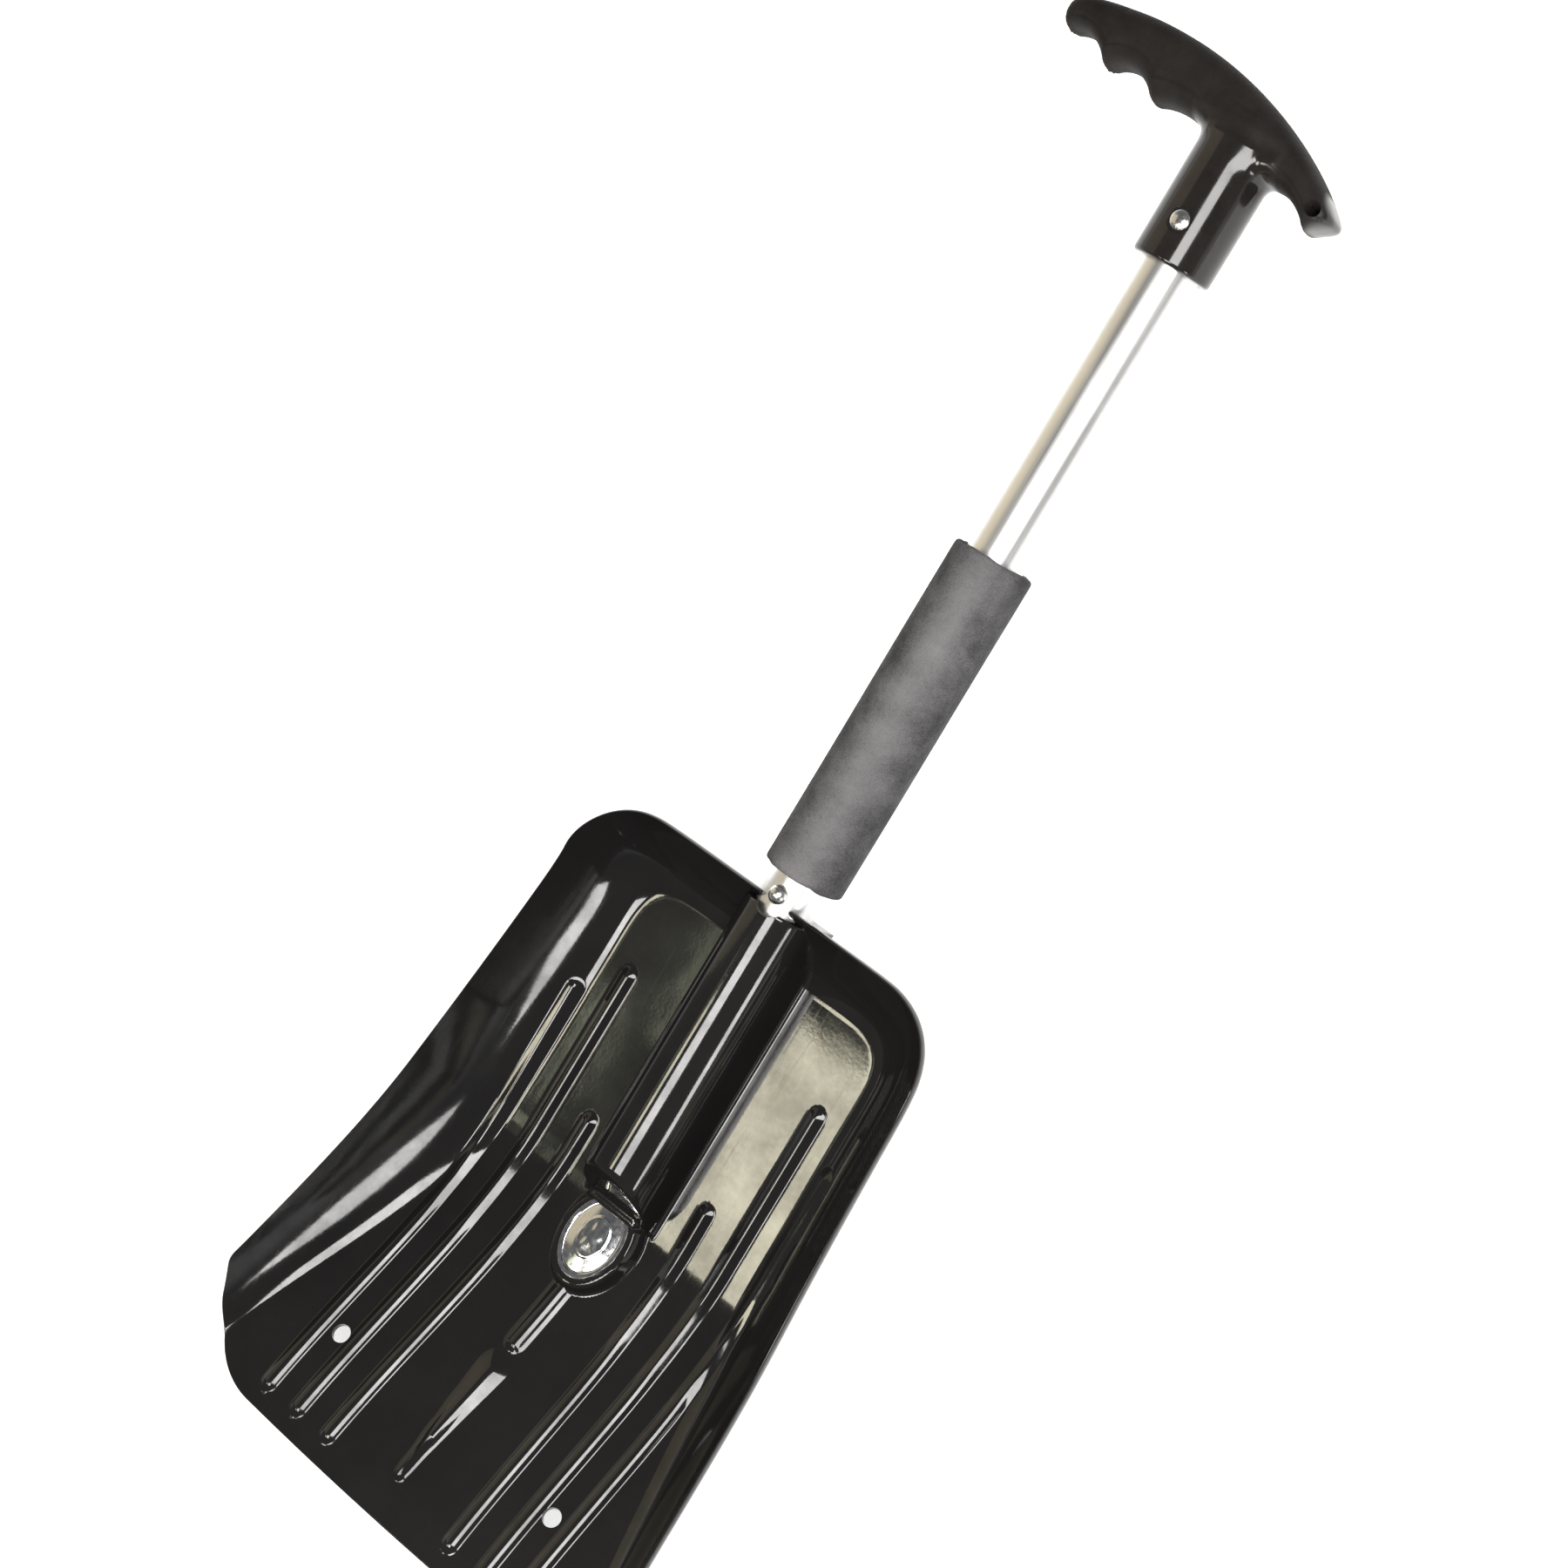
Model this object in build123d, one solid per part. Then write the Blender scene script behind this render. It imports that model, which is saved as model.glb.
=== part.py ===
"""Camp shovel: a moulded scoop blade, a tube handle that pulls out of it, and a T-grip.

Drawn with the shaft's axis on Y, the grip towards +Y, the blade's hollow face up, and
y = 0 at the blade's top edge. The finished pieces are moved together so that the origin
lies under the middle of the whole shovel, on the plane that the blade's back rests on.
"""

import os
from math import atan2, cos, degrees, hypot, sin

from build123d import *

# ---- driving dimensions, millimetres ----

# blade: the plan shape
BLADE_LENGTH = 295.0
TOP_HALF_WIDTH = 91.0
SIDE_FLARE = 0.0455
SIDE_CURVE = 0.000175
TOP_CORNER_R = 33.0
SHOULDER_Y = -250.0
EDGE_HALF_WIDTH = 104.0
EDGE_CORNER_R = 36.0
SHOULDER_R = 20.0

# blade: heights of its hollow face, measured from the shaft's axis
FLOOR_Z = -16.0
WALL_THICKNESS = 2.6
BEND_Y = -142.0
FLOOR_RISE = 60.0
RIM_Z = 14.0
RIM_SLOPE = 0.068
RIM_FOLLOWS_FLOOR = 0.46
WALL_REACH = 0.9
WALL_CURVE = 1.75
CORNER_REACH = 60.0
CORNER_POWER = 3.9

# blade: ribs, keel and anchor holes
RIB_WIDTH = 8.0
RIB_LIFT = 2.0
RIB_END_Y = -282.0
RIBS = [(33.0, -128.0, 35.5), (52.0, -68.0, 53.5), (69.5, -85.0, 71.0)]
KEEL_HEAD_Y = -226.0
KEEL_HEAD_R = 7.5
KEEL_TAIL_Y = -276.0
KEEL_TAIL_R = 2.0
KEEL_NECK_WIDTH = 10.0
HOLE_X = 61.0
HOLE_Y = -252.5
HOLE_R = 4.0

# socket and badge
SOCKET_R = 16.5
SOCKET_TOP_Y = -4.0
SOCKET_END_Y = -131.0
SOCKET_FOOT_Y = -146.0
SOCKET_FOOT_Z = -8.0
SOCKET_BORE_END_Y = -122.0
SOCKET_CLEARANCE = 0.08
SOCKET_BASE_DROP = 0.4
NOTCH_R = 8.0
BADGE_Y = -162.5
BADGE_LENGTH = 38.0
BADGE_WIDTH = 27.0
BADGE_TILT = -14.0
BADGE_Z = -6.3
BADGE_INLAY = 1.2

# handle
TUBE_R = 12.5
TUBE_WALL = 1.2
TUBE_BOTTOM_Y = -120.0
TUBE_TOP_Y = 346.0
FOAM_R = 17.6
FOAM_BOTTOM_Y = 10.5
FOAM_TOP_Y = 160.0

# T-grip
STEM_R = 16.7
STEM_BOTTOM_Y = 289.0
STEM_TAPER_Y = 337.0
STEM_TOP_Y = 352.0
STEM_TOP_R = 13.4
STEM_BORE_TOP_Y = 348.0
GRIP_HALF_DEPTH = 14.0
GRIP_SECTION_HEIGHT = 36.0
GRIP_SECTION_R = 11.0
GRIP_LEFT_X = -93.0
GRIP_RIGHT_X = 50.0
GRIP_CROWN_X = -50.0
GRIP_CROWN_Y = 370.5
GRIP_CROWN_R = 158.0
GRIP_SPARE = 2.0
LANYARD_X = 42.5
LANYARD_Y = 333.0
LANYARD_R = 2.2

# rivet
RIVET_Y = 306.0
RIVET_R = 2.4
RIVET_HEAD_R = 4.0
RIVET_HEAD_HEIGHT = 1.6
RIVET_SPOT_Z = 16.0
WASHER_R = 5.0
WASHER_THICKNESS = 0.6

# snap button and its leaf spring
BUTTON_Y = 2.5
BUTTON_R = 4.0
BUTTON_CLEARANCE = 0.1
BUTTON_TOP_Z = 16.0
BUTTON_FLANGE_R = 5.2
BUTTON_FLANGE_TOP_Z = 9.8
BUTTON_FLANGE_THICKNESS = 1.0
SPRING_WIDTH = 8.0
SPRING_THICKNESS = 0.8
SPRING_BEND_Y = -42.0
SPRING_FOOT_Z = -10.1

GRID_STEP = 6.0
TALL = 200.0

# where the origin goes: the middle of the length, on the plane the socket's back rests on
MIDDLE_Y = (GRIP_CROWN_Y - BLADE_LENGTH) / 2
REST_Z = FLOOR_Z - WALL_THICKNESS - SOCKET_BASE_DROP


# ---- the blade's surface, as formulas ----


def floor_rise(y):
    """How far the floor has risen towards the cutting edge at this y."""
    t = (BEND_Y - y) / (BLADE_LENGTH + BEND_Y)
    t = min(max(t, 0.0), 1.06)
    return FLOOR_RISE * (2.25 * t**2 - 1.25 * t**3)


def half_width(y):
    """Half the blade's width at its rim."""
    return TOP_HALF_WIDTH - SIDE_FLARE * y + SIDE_CURVE * y**2


def rim_height(y):
    """Height of the side walls' rim."""
    return RIM_Z - RIM_SLOPE * y + RIM_FOLLOWS_FLOOR * floor_rise(y)


def inset(x, y):
    """Distance inwards from the rim, with rounded corners at the top."""
    side = max(CORNER_REACH - 0.99 * (half_width(y) - abs(x)), 0.0)
    top = max(CORNER_REACH + y, 0.0)
    return CORNER_REACH - (side**CORNER_POWER + top**CORNER_POWER) ** (1 / CORNER_POWER)


def front_height(x, y):
    """Height of the hollow face: a flat floor and walls that curve up to the rim."""
    floor = FLOOR_Z + floor_rise(y)
    height = rim_height(y) - floor
    climb = max(1.0 - inset(x, y) / (WALL_REACH * height), 0.0)
    return floor + height * climb**WALL_CURVE


def slope(x, y):
    """Slope of the hollow face along x and along y."""
    along_x = (front_height(x + 0.5, y) - front_height(x - 0.5, y)) / 1.0
    along_y = (front_height(x, y + 0.5) - front_height(x, y - 0.5)) / 1.0
    return along_x, along_y


def back_height(x, y):
    """Height of the back face, one wall thickness behind the hollow face."""
    along_x, along_y = slope(x, y)
    return front_height(x, y) - WALL_THICKNESS * hypot(1.0, along_x, along_y)


def space_under(height, margin):
    """The solid that fills everything below a height formula."""
    y_top = 6.0 + margin
    y_bottom = -BLADE_LENGTH - 10.0 - margin
    x_side = half_width(-BLADE_LENGTH) + 8.0 + margin
    rows = round((y_top - y_bottom) / GRID_STEP)
    columns = 2 * round(x_side / GRID_STEP)
    points = []
    for i in range(rows + 1):
        y = y_bottom + (y_top - y_bottom) * i / rows
        row = []
        for j in range(columns + 1):
            x = x_side * (2 * j / columns - 1)
            row.append((x, y, height(x, y)))
        points.append(row)
    surface = Face.make_surface_from_array_of_points(points, tol=0.02)
    return extrude(surface, amount=TALL, dir=(0, 0, -1))


# ---- blade ----


def blade_outline():
    """The blade's outline from above."""
    corner_x = half_width(-TOP_CORNER_R)
    side = [(half_width(y), y) for y in (-TOP_CORNER_R, -90.0, -150.0, -200.0, SHOULDER_Y)]
    with BuildSketch() as sketch:
        with BuildLine():
            top = Line((0, 0), (corner_x - TOP_CORNER_R, 0))
            RadiusArc(top @ 1, side[0], TOP_CORNER_R)
            edge = Spline(*side)
            cut = Line(edge @ 1, (EDGE_HALF_WIDTH, 2.5 - BLADE_LENGTH))
            lip = ThreePointArc(
                cut @ 1,
                (EDGE_HALF_WIDTH / 2, 0.6 - BLADE_LENGTH),
                (0, -BLADE_LENGTH),
            )
            Line(lip @ 1, top @ 0)
        make_face()
        low = sketch.vertices().filter_by(lambda v: v.X > 40 and v.Y < SHOULDER_Y - 20)
        fillet(low, EDGE_CORNER_R)
        shoulder = sketch.vertices().filter_by(
            lambda v: v.X > 40 and abs(v.Y - SHOULDER_Y) < 1.0
        )
        fillet(shoulder, SHOULDER_R)
        mirror(about=Plane.YZ)
    return sketch.sketch


def strip(start, end, width):
    """A round-ended strip from one point to another, as a tall prism."""
    dx = end[0] - start[0]
    dy = end[1] - start[1]
    middle = Location(((start[0] + end[0]) / 2, (start[1] + end[1]) / 2, -TALL / 2))
    outline = SlotCenterToCenter(hypot(dx, dy), width, rotation=degrees(atan2(dy, dx)))
    return middle * extrude(outline, TALL)


def keel(narrowing):
    """The keel's plan: a neck below the badge, then a swelling that tapers to the tip."""
    head = Pos(0, KEEL_HEAD_Y) * Circle(KEEL_HEAD_R - narrowing)
    tail = Pos(0, KEEL_TAIL_Y) * Circle(KEEL_TAIL_R - narrowing / 2)
    drop = make_hull(head.edges() + tail.edges())
    neck = strip((0, BADGE_Y), (0, KEEL_HEAD_Y + 12.0), KEEL_NECK_WIDTH - 2 * narrowing)
    return Pos(0, 0, -TALL / 2) * extrude(drop, TALL) + neck


def rib_strips(width):
    """The long ribs on both sides of the blade."""
    strips = []
    for x_top, y_top, x_end in RIBS:
        for side in (-1, 1):
            strips.append(strip((side * x_top, y_top), (side * x_end, RIB_END_Y), width))
    return strips


def raised(below, strips, lift):
    """A body whose top face is lifted inside each strip."""
    lifted = Pos(0, 0, lift) * below
    for one in strips:
        below = below + (lifted & one)
    return below


def socket_ridge():
    """The solid that holds the handle: round on top, square below, sloping down to the badge."""
    length = SOCKET_TOP_Y - SOCKET_FOOT_Y
    middle_y = (SOCKET_TOP_Y + SOCKET_FOOT_Y) / 2
    ridge = Pos(0, middle_y, 0) * Rot(90, 0, 0) * Cylinder(SOCKET_R, length)
    base = Pos(0, middle_y, REST_Z / 2) * Box(2 * SOCKET_R, length, -REST_Z)
    slant = degrees(atan2(SOCKET_R - SOCKET_FOOT_Z, SOCKET_END_Y - SOCKET_FOOT_Y))
    beyond = Pos(0, 0, TALL / 2) * Box(TALL, TALL, TALL)
    return ridge + base - Pos(0, SOCKET_FOOT_Y, SOCKET_FOOT_Z) * Rot(slant, 0, 0) * beyond


def badge_frame():
    """Where the badge sits: a plane tilted to the blade's bend."""
    return Location((0, BADGE_Y, BADGE_Z), (BADGE_TILT, 0, 0))


def oval(length, width, height):
    """An upright oval disc whose top is at z = 0."""
    return Pos(0, 0, -height) * extrude(Ellipse(width / 2, length / 2), height)


def hole_location(side):
    """An anchor hole's middle, with its axis square to the blade."""
    x = side * HOLE_X
    _, along_y = slope(x, HOLE_Y)
    z = front_height(x, HOLE_Y) - WALL_THICKNESS / 2
    return Location((x, HOLE_Y, z), (degrees(atan2(along_y, 1.0)), 0, 0))


def make_blade():
    ribs = rib_strips(RIB_WIDTH) + [keel(0.0)]
    grooves = rib_strips(RIB_WIDTH - 2 * WALL_THICKNESS)
    front = raised(space_under(front_height, 0.0), ribs, RIB_LIFT)
    back = raised(space_under(back_height, 9.0), grooves, RIB_LIFT)
    outline = Pos(0, 0, -TALL / 2) * extrude(blade_outline(), TALL)
    blade = (front & outline) - back

    boss = badge_frame() * oval(BADGE_LENGTH + 5, BADGE_WIDTH + 5, 30)
    boss = boss - space_under(back_height, 0.0)
    blade = blade + socket_ridge() + boss
    blade = blade - badge_frame() * oval(BADGE_LENGTH, BADGE_WIDTH, BADGE_INLAY)

    bore_length = 40.0 - SOCKET_BORE_END_Y
    bore_middle = SOCKET_BORE_END_Y + bore_length / 2
    bore = Cylinder(TUBE_R + SOCKET_CLEARANCE, bore_length)
    blade = blade - Pos(0, bore_middle, 0) * Rot(90, 0, 0) * bore
    notch = strip((0, SOCKET_TOP_Y + NOTCH_R - 3.0), (0, 20.0), 2 * NOTCH_R)
    blade = blade - Pos(0, 0, TALL / 2) * notch
    for side in (-1, 1):
        blade = blade - hole_location(side) * Cylinder(HOLE_R, 20.0)
    return blade


def make_badge():
    return badge_frame() * oval(BADGE_LENGTH, BADGE_WIDTH, BADGE_INLAY)


# ---- handle ----


def sleeve(outer_r, inner_r, y_bottom, y_top):
    """A round sleeve along the shaft's axis."""
    length = y_top - y_bottom
    ring = Cylinder(outer_r, length) - Cylinder(inner_r, length)
    return Pos(0, (y_bottom + y_top) / 2, 0) * Rot(90, 0, 0) * ring


def rivet_shank():
    return Pos(0, RIVET_Y, 0) * Cylinder(RIVET_R, TALL / 2)


def make_tube():
    tube = sleeve(TUBE_R, TUBE_R - TUBE_WALL, TUBE_BOTTOM_Y, TUBE_TOP_Y)
    button_hole = Pos(0, BUTTON_Y, TUBE_R) * Cylinder(BUTTON_R + BUTTON_CLEARANCE, TUBE_R)
    return tube - button_hole - rivet_shank()


def make_foam():
    return sleeve(FOAM_R, TUBE_R, FOAM_BOTTOM_Y, FOAM_TOP_Y)


def crown_y(x):
    """The crossbar's top edge, an arc across the whole grip."""
    return GRIP_CROWN_Y - GRIP_CROWN_R + (GRIP_CROWN_R**2 - (x - GRIP_CROWN_X) ** 2) ** 0.5


def grip_profile():
    """The crossbar from the front, with finger grooves below and spare height above the crown."""
    left_tip = (GRIP_LEFT_X + 4, crown_y(GRIP_LEFT_X + 4) + GRIP_SPARE / 2)
    right_tip = (GRIP_RIGHT_X - 3, crown_y(GRIP_RIGHT_X - 3) + GRIP_SPARE / 2)
    left_corner = (GRIP_LEFT_X + 4.5, 351)
    right_corner = (GRIP_RIGHT_X - 9.5, 325.5)
    with BuildSketch() as sketch:
        with BuildLine():
            ThreePointArc(left_tip, (GRIP_CROWN_X, GRIP_CROWN_Y + GRIP_SPARE), right_tip)
            ThreePointArc(right_tip, (GRIP_RIGHT_X, 333.5), right_corner)
            Spline(right_corner, (35, 328.5), (27, 334), (20, 330), (14, 322))
            Line((14, 322), (-14, 322))
            Spline(
                (-14, 322),
                (-20, 341),
                (-30, 344.5),
                (-41.5, 341.5),
                (-53, 350),
                (-67, 345.3),
                (-77, 353),
                left_corner,
            )
            ThreePointArc(left_corner, (GRIP_LEFT_X, 358.5), left_tip)
        make_face()
    return sketch.sketch


def grip_ring():
    """A ring with the crossbar's rounded section, turned about the crown arc's centre."""
    section = RectangleRounded(GRIP_SECTION_HEIGHT, 2 * GRIP_HALF_DEPTH, GRIP_SECTION_R)
    from_centre = GRIP_CROWN_R - GRIP_SECTION_HEIGHT / 2
    ring = revolve(Plane.XZ * Pos(from_centre, 0) * section, Axis.Z)
    return Pos(GRIP_CROWN_X, GRIP_CROWN_Y - GRIP_CROWN_R, 0) * ring


def make_t_grip():
    bar = extrude(grip_profile(), GRIP_HALF_DEPTH + GRIP_SPARE, both=True) & grip_ring()
    stem = Cylinder(STEM_R, STEM_TAPER_Y - STEM_BOTTOM_Y)
    stem = Pos(0, (STEM_BOTTOM_Y + STEM_TAPER_Y) / 2, 0) * Rot(90, 0, 0) * stem
    taper = Cone(STEM_R, STEM_TOP_R, STEM_TOP_Y - STEM_TAPER_Y)
    taper = Pos(0, (STEM_TAPER_Y + STEM_TOP_Y) / 2, 0) * Rot(-90, 0, 0) * taper
    grip = bar + stem + taper
    bore_length = STEM_BORE_TOP_Y - STEM_BOTTOM_Y
    bore_middle = STEM_BOTTOM_Y + bore_length / 2
    grip = grip - Pos(0, bore_middle, 0) * Rot(90, 0, 0) * Cylinder(TUBE_R, bore_length)
    grip = grip - Pos(LANYARD_X, LANYARD_Y, 0) * Cylinder(LANYARD_R, TALL / 2)
    grip = grip - rivet_shank()
    for side in (-1, 1):
        spot = Pos(0, RIVET_Y, side * (RIVET_SPOT_Z + 5.0)) * Cylinder(WASHER_R + 0.3, 10.0)
        grip = grip - spot
    return grip


# ---- fasteners ----


def dome(radius, height):
    """A low round head that stands on z = 0."""
    ball_r = (radius**2 + height**2) / (2 * height)
    ball = Pos(0, 0, height - ball_r) * Sphere(ball_r)
    return ball & Pos(0, 0, height) * Cylinder(radius + 1.0, 2 * height)


def make_rivet():
    back_z = RIVET_SPOT_Z + WASHER_THICKNESS
    shank_length = RIVET_SPOT_Z + back_z
    shank = Pos(0, 0, (RIVET_SPOT_Z - back_z) / 2) * Cylinder(RIVET_R, shank_length)
    front = Pos(0, 0, RIVET_SPOT_Z) * dome(RIVET_HEAD_R, RIVET_HEAD_HEIGHT)
    back = Pos(0, 0, -back_z) * Rot(180, 0, 0) * dome(RIVET_HEAD_R, RIVET_HEAD_HEIGHT)
    return Pos(0, RIVET_Y, 0) * (shank + front + back)


def make_washer():
    ring = Cylinder(WASHER_R, WASHER_THICKNESS) - Cylinder(RIVET_R, WASHER_THICKNESS)
    return Pos(0, RIVET_Y, -RIVET_SPOT_Z - WASHER_THICKNESS / 2) * ring


def make_button():
    flange_z = BUTTON_FLANGE_TOP_Z - BUTTON_FLANGE_THICKNESS / 2
    flange = Pos(0, 0, flange_z) * Cylinder(BUTTON_FLANGE_R, BUTTON_FLANGE_THICKNESS)
    height = BUTTON_TOP_Z - BUTTON_FLANGE_TOP_Z
    pin = Pos(0, 0, BUTTON_FLANGE_TOP_Z + height / 2) * Cylinder(BUTTON_R, height)
    pin = fillet(pin.edges().group_by(Axis.Z)[-1], 1.6)
    return Pos(0, BUTTON_Y, 0) * (flange + pin)


def make_spring():
    """A leaf bent into a V: one arm under the button, one on the tube's far wall."""
    top_z = BUTTON_FLANGE_TOP_Z - BUTTON_FLANGE_THICKNESS - SPRING_THICKNESS / 2 - 0.1
    pad_y = BUTTON_Y - BUTTON_FLANGE_R - 1.0
    with BuildSketch(Plane.YZ) as sketch:
        with BuildLine():
            FilletPolyline(
                (BUTTON_Y + BUTTON_FLANGE_R, top_z),
                (pad_y, top_z),
                (SPRING_BEND_Y, -2.0),
                (SPRING_BEND_Y, SPRING_FOOT_Z),
                (BUTTON_Y + BUTTON_FLANGE_R, SPRING_FOOT_Z),
                radius=2.0,
            )
        trace(line_width=SPRING_THICKNESS)
    return extrude(sketch.sketch, SPRING_WIDTH / 2, both=True)


def main():
    pieces = {
        "blade": make_blade(),
        "badge": make_badge(),
        "shaft_tube": make_tube(),
        "foam_sleeve": make_foam(),
        "t_grip": make_t_grip(),
        "grip_rivet": make_rivet(),
        "rivet_washer": make_washer(),
        "lock_button": make_button(),
        "lock_spring": make_spring(),
    }
    os.makedirs("parts", exist_ok=True)
    for name, piece in pieces.items():
        export_step(Pos(0, -MIDDLE_Y, -REST_Z) * piece, f"parts/{name}.step")


if __name__ == "__main__":
    main()
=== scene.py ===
"""Looks for the camp shovel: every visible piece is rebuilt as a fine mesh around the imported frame.

The pieces are drawn in the shaft's own axes, in metres: the shaft's axis is Y, with the grip
towards +Y, Z points out of the blade's hollow face, and y = 0 is the blade's top edge.
"""

import math

import bpy
import numpy as np
from mathutils import Matrix, Vector, noise


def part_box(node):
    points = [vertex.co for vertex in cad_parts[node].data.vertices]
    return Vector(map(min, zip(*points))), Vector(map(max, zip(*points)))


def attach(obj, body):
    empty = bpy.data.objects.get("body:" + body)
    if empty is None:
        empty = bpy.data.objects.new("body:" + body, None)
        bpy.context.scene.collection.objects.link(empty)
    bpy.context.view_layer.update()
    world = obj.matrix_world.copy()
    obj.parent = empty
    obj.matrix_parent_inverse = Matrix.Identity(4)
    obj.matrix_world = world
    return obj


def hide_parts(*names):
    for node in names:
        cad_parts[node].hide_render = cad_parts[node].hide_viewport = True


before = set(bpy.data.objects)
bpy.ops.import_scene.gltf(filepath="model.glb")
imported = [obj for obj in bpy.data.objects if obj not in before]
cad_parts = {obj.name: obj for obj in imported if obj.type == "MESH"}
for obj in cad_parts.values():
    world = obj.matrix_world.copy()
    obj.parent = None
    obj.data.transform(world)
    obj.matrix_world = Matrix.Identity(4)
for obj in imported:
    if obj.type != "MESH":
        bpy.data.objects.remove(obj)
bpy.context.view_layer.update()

# ---- places and sizes that the frame gives ----

BLADE_LOW, BLADE_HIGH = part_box("blade")
TUBE_LOW, TUBE_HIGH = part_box("shaft_tube")
FOAM_LOW, FOAM_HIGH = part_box("foam_sleeve")
GRIP_LOW, GRIP_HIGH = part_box("t_grip")
BUTTON_LOW, BUTTON_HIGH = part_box("lock_button")
RIVET_LOW, RIVET_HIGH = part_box("grip_rivet")
WASHER_LOW, WASHER_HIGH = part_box("rivet_washer")

ORIGIN = Vector((0.0, BLADE_HIGH.y, (TUBE_LOW.z + TUBE_HIGH.z) / 2))
BLADE_LENGTH = BLADE_HIGH.y - BLADE_LOW.y
TUBE_R = (TUBE_HIGH.x - TUBE_LOW.x) / 2
FOAM_R = (FOAM_HIGH.x - FOAM_LOW.x) / 2
STEM_R = ORIGIN.z - GRIP_LOW.z

# ---- blade: plan and section, metres ----

MM = 0.001
TOP_HALF_WIDTH = 91 * MM
SIDE_FLARE = 0.0455
SIDE_CURVE = 0.175
TOP_CORNER_R = 33 * MM
SHOULDER_Y = -250 * MM
SHOULDER_R = 20 * MM
EDGE_HALF_WIDTH = 104 * MM
EDGE_CORNER_R = 36 * MM
EDGE_BOW = 2.5 * MM
EDGE_BOW_FROM_Y = -235 * MM
FLOOR_Z = -16 * MM
WALL_THICKNESS = 2.6 * MM
BEND_Y = -142 * MM
FLOOR_RISE = 60 * MM
RIM_Z = 14 * MM
RIM_SLOPE = 0.068
RIM_FOLLOWS_FLOOR = 0.46
RIM_ROUNDING = 0.9 * MM
WALL_REACH = 0.9
WALL_CURVE = 1.75
CORNER_REACH = 60 * MM
CORNER_POWER = 3.9

# each pair of ribs: x and y at the top, x at the end
RIBS = [(33 * MM, -128 * MM, 35.5 * MM), (52 * MM, -68 * MM, 53.5 * MM), (69.5 * MM, -85 * MM, 71 * MM)]
RIB_END_Y = -282 * MM
RIB_HALF_WIDTH = 4 * MM
RIB_BAND = 4.4 * MM
RIB_COLUMNS_FROM = 21.5 * MM
RIB_LIFT = 1.9 * MM
SHARP_CREST = 0.16
ROUND_CREST = 1.1
CREST_ROUNDS_FROM_Y = -186 * MM
CREST_ROUNDS_OVER = 22 * MM
BACK_GROOVE_NARROWING = 0.6 * MM
KEEL_HEAD_Y = -226 * MM
KEEL_HEAD_R = 7.5 * MM
KEEL_TAIL_Y = -276 * MM
KEEL_TAIL_R = 2 * MM
KEEL_NECK_R = 5 * MM
KEEL_LIFT = 2.8 * MM
HOLE_X = 61 * MM
HOLE_Y = -252.5 * MM
HOLE_R = 4 * MM

SOCKET_R = 16.5 * MM
SOCKET_TOP_Y = -4 * MM
SOCKET_END_Y = -131 * MM
SOCKET_FOOT_Y = -146 * MM
SOCKET_FOOT_Z = -8 * MM
SOCKET_BORE_END_Y = -122 * MM
SOCKET_SIDE_STEEPNESS = 14.0
SOCKET_ROUND_TO = 0.9976 * SOCKET_R
SOCKET_BASE_FILLET = 2.4 * MM
SOCKET_END_FILLET = 5 * MM
SOCKET_MOUTH_ROUNDING = 1.2 * MM
NOTCH_DEPTH = 3 * MM
BORE_R = TUBE_R + 0.08 * MM
NOTCH_R = 8 * MM
BADGE_Y = -162.5 * MM
BADGE_Z = -6.3 * MM
BADGE_HALF_LENGTH = 19 * MM
BADGE_HALF_WIDTH = (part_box("badge")[1].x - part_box("badge")[0].x) / 2
BADGE_MARGIN = 2.5 * MM
BOSS_STEEPNESS = 2.4
BOSS_FILLET = 1.2 * MM
BADGE_TILT = math.radians(-14)

# ---- grip ----

STEM_BOTTOM_Y = GRIP_LOW.y - ORIGIN.y
STEM_TAPER_Y = 342 * MM
STEM_TOP_Y = 352 * MM
STEM_TOP_R = 13.4 * MM
GRIP_LEFT_X = GRIP_LOW.x
GRIP_RIGHT_X = GRIP_HIGH.x
GRIP_CROWN_X = -50 * MM
GRIP_CROWN_Y = GRIP_HIGH.y - ORIGIN.y
GRIP_CROWN_R = 158 * MM
GRIP_HALF_DEPTH = 14 * MM
GRIP_MIDDLE_X = (GRIP_RIGHT_X + GRIP_LEFT_X) / 2
GRIP_HALF_SPAN = (GRIP_RIGHT_X - GRIP_LEFT_X) / 2
GRIP_POWER = 2.9
GRIP_END_POWER = 22
GRIP_NARROWS_BY = 0.12
CREASE_RISE = -0.42
CREASE_DEPTH = 0.7 * MM
CREASE_FROM_X = 18 * MM
STEM_BLEND = 3 * MM
STEM_END_ROUNDING = 2 * MM
LANYARD_X = 42.5 * MM
LANYARD_Y = 333 * MM
LANYARD_R = 2.2 * MM
RIVET_Y = (RIVET_LOW.y + RIVET_HIGH.y) / 2 - ORIGIN.y
RIVET_SPOT_Z = 16 * MM
RIVET_SHANK_R = 2.4 * MM
BUTTON_Y = (BUTTON_LOW.y + BUTTON_HIGH.y) / 2 - ORIGIN.y


# ---- mesh helpers ----


def make_piece(name, points, faces, body, replaced=()):
    """A smooth-shaded mesh object from points in the shaft's axes, riding on a body."""
    mesh = bpy.data.meshes.new(name)
    mesh.from_pydata((np.asarray(points) + np.array(ORIGIN)).tolist(), [], faces)
    mesh.validate()
    piece = bpy.data.objects.new(name, mesh)
    bpy.context.scene.collection.objects.link(piece)
    if body:
        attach(piece, body)
        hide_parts(*replaced)
    return piece


def shade_smooth(piece, angle=math.radians(40)):
    """Smooth shading that keeps edges sharper than the angle."""
    mesh = piece.data
    mesh.shade_smooth()
    mesh.set_sharp_from_angle(angle=angle)


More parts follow.
